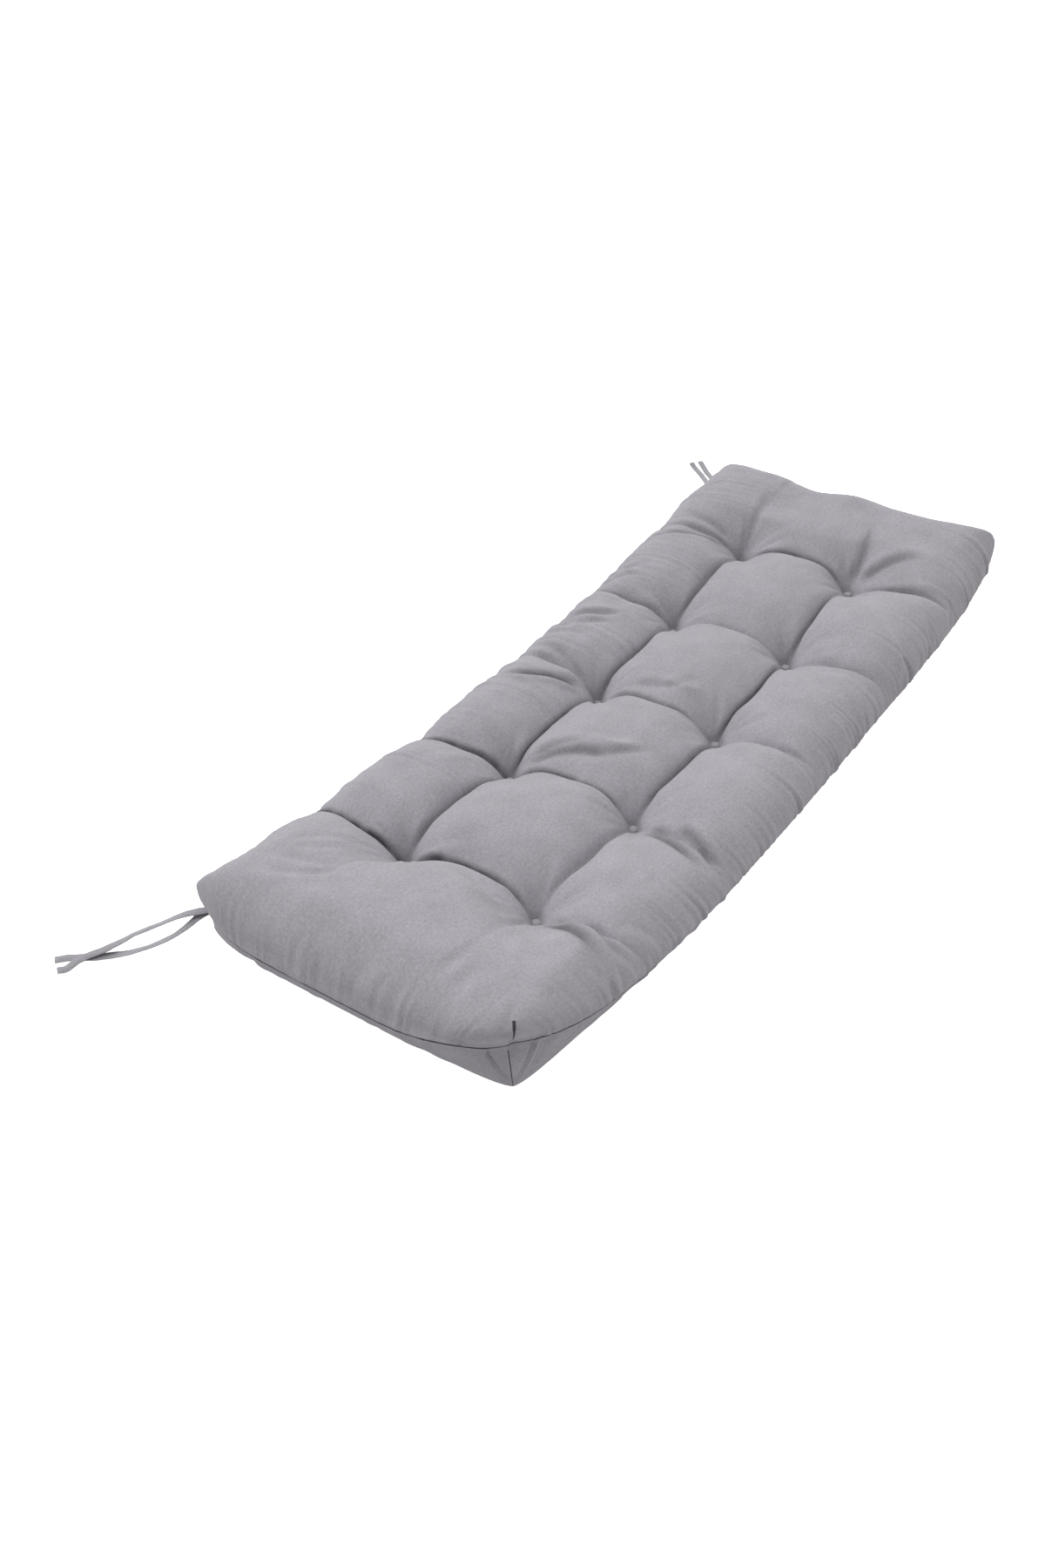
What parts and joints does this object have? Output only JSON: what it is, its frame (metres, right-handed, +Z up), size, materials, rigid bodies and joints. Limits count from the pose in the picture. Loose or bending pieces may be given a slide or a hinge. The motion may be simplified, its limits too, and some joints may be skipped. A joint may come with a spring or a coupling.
{
  "type": "tufted bench cushion",
  "caption": "Long tufted bench cushion in plain grey cloth, puffed into pillows between its tufts, with cloth tie strips at the two back corners.",
  "frame": {"origin": "on the floor plane, below the middle of the cushion's bounding box, tie strips left out", "axes": "+X along the length of the cushion, towards its smoother far end; +Y across it towards the back edge with the tie strips; +Z up, out of the tufted face"},
  "size_m": [1.4944, 0.6023, 0.1417],
  "materials": {
    "cushion_cloth": "matt plain-weave polyester cloth, mid grey with a slight lilac cast",
    "button_cloth": "the same cloth drawn over small button moulds",
    "tie_cloth": "the same cloth folded to four layers and edge stitched"
  },
  "bodies": {
    "root": {"cushion_body": "cushion_cloth", "tuft_button_1": "button_cloth", "tuft_button_2": "button_cloth", "tuft_button_3": "button_cloth", "tuft_button_4": "button_cloth", "tuft_button_5": "button_cloth", "tuft_button_6": "button_cloth", "tuft_button_7": "button_cloth", "tuft_button_8": "button_cloth", "tuft_button_9": "button_cloth", "tuft_button_10": "button_cloth", "tie_near_upper": "tie_cloth", "tie_near_lower": "tie_cloth", "tie_far_upper": "tie_cloth", "tie_far_lower": "tie_cloth"}
  },
  "joints": []
}
